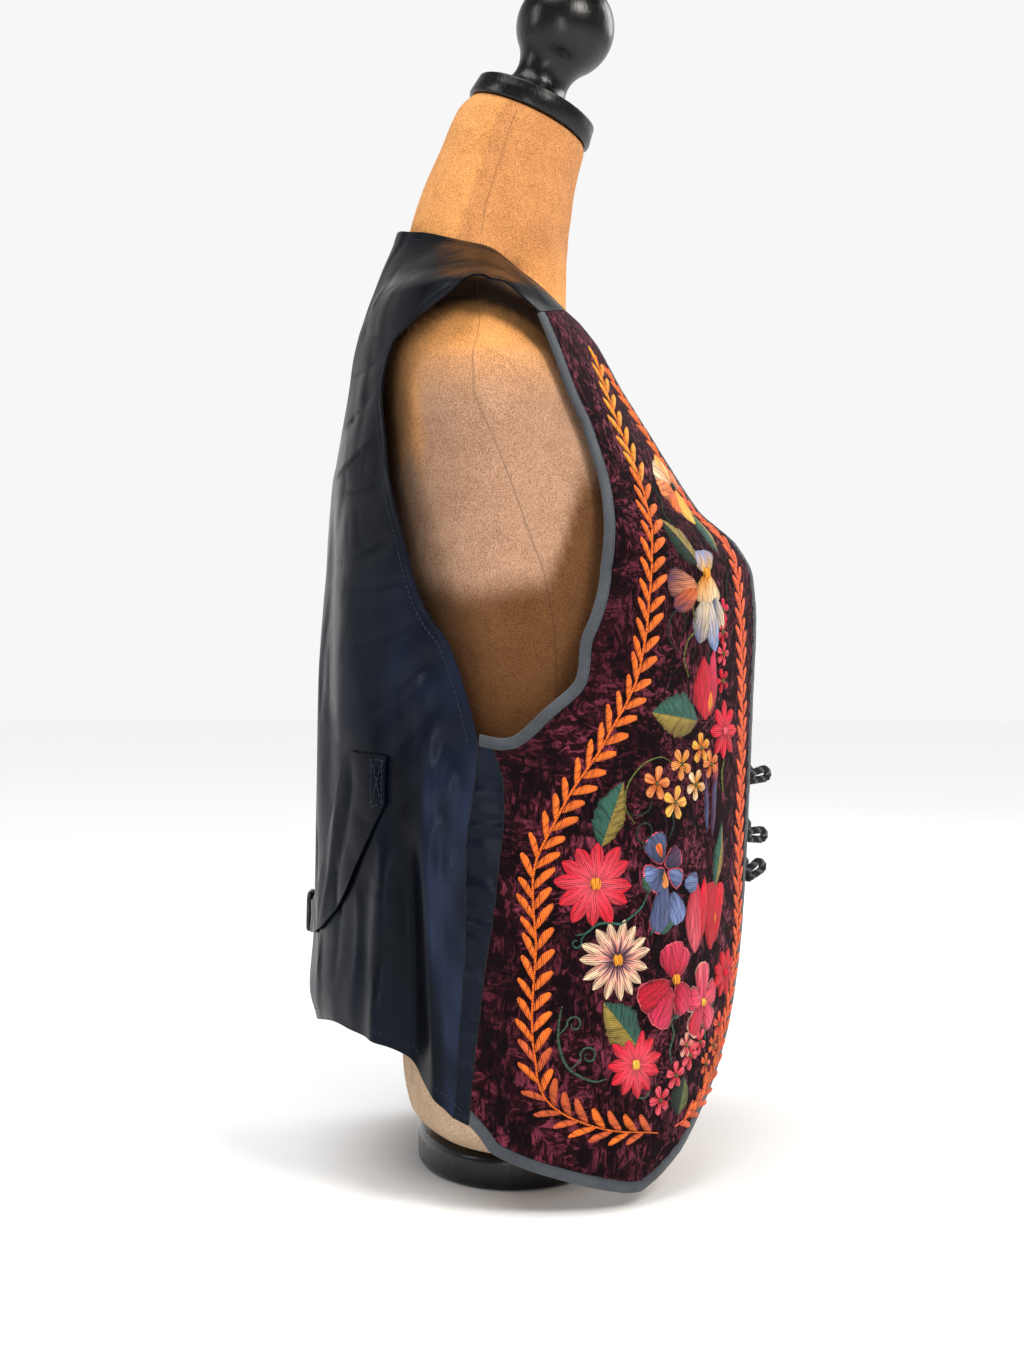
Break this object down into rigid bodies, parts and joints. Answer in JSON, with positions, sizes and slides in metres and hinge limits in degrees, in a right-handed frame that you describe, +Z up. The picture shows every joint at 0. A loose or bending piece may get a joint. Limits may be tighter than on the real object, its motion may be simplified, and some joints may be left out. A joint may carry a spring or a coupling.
{
  "type": "embroidered folk vest on a dress form",
  "caption": "Open crushed-velvet folk vest with embroidered fronts, satin back, tape bindings, back belt and cord loops, worn on a limbless suede dress form with a turned wooden cap.",
  "frame": {"origin": "centre of the foot's flat underside, on the floor", "axes": "+Z up, -Y toward the wearer's front, -X toward the wearer's right"},
  "size_m": [0.3118, 0.2741, 0.7047],
  "materials": {
    "suede": "matte suede",
    "black_wood": "semi-gloss black paint",
    "satin": "dark navy satin sheen",
    "velvet": "burgundy crushed velvet",
    "binding": "matte slate tape",
    "cord": "matte braid",
    "black_metal": "satin black"
  },
  "bodies": {
    "root": {"form_torso": "suede", "foot": "black_wood", "neck_cap": "black_wood", "finial": "black_wood", "back_satin": "satin", "front_velvet_right": "velvet", "front_velvet_left": "velvet", "side_strip_right": "satin", "side_strip_left": "satin", "armhole_binding_right": "binding", "armhole_binding_left": "binding", "edge_binding_right": "binding", "edge_binding_left": "binding", "belt_right": "satin", "belt_left": "satin", "belt_buckle": "black_metal", "loop_top": "cord", "loop_middle": "cord", "loop_bottom": "cord", "button_top": "cord", "button_middle": "cord", "button_bottom": "cord"}
  },
  "joints": []
}
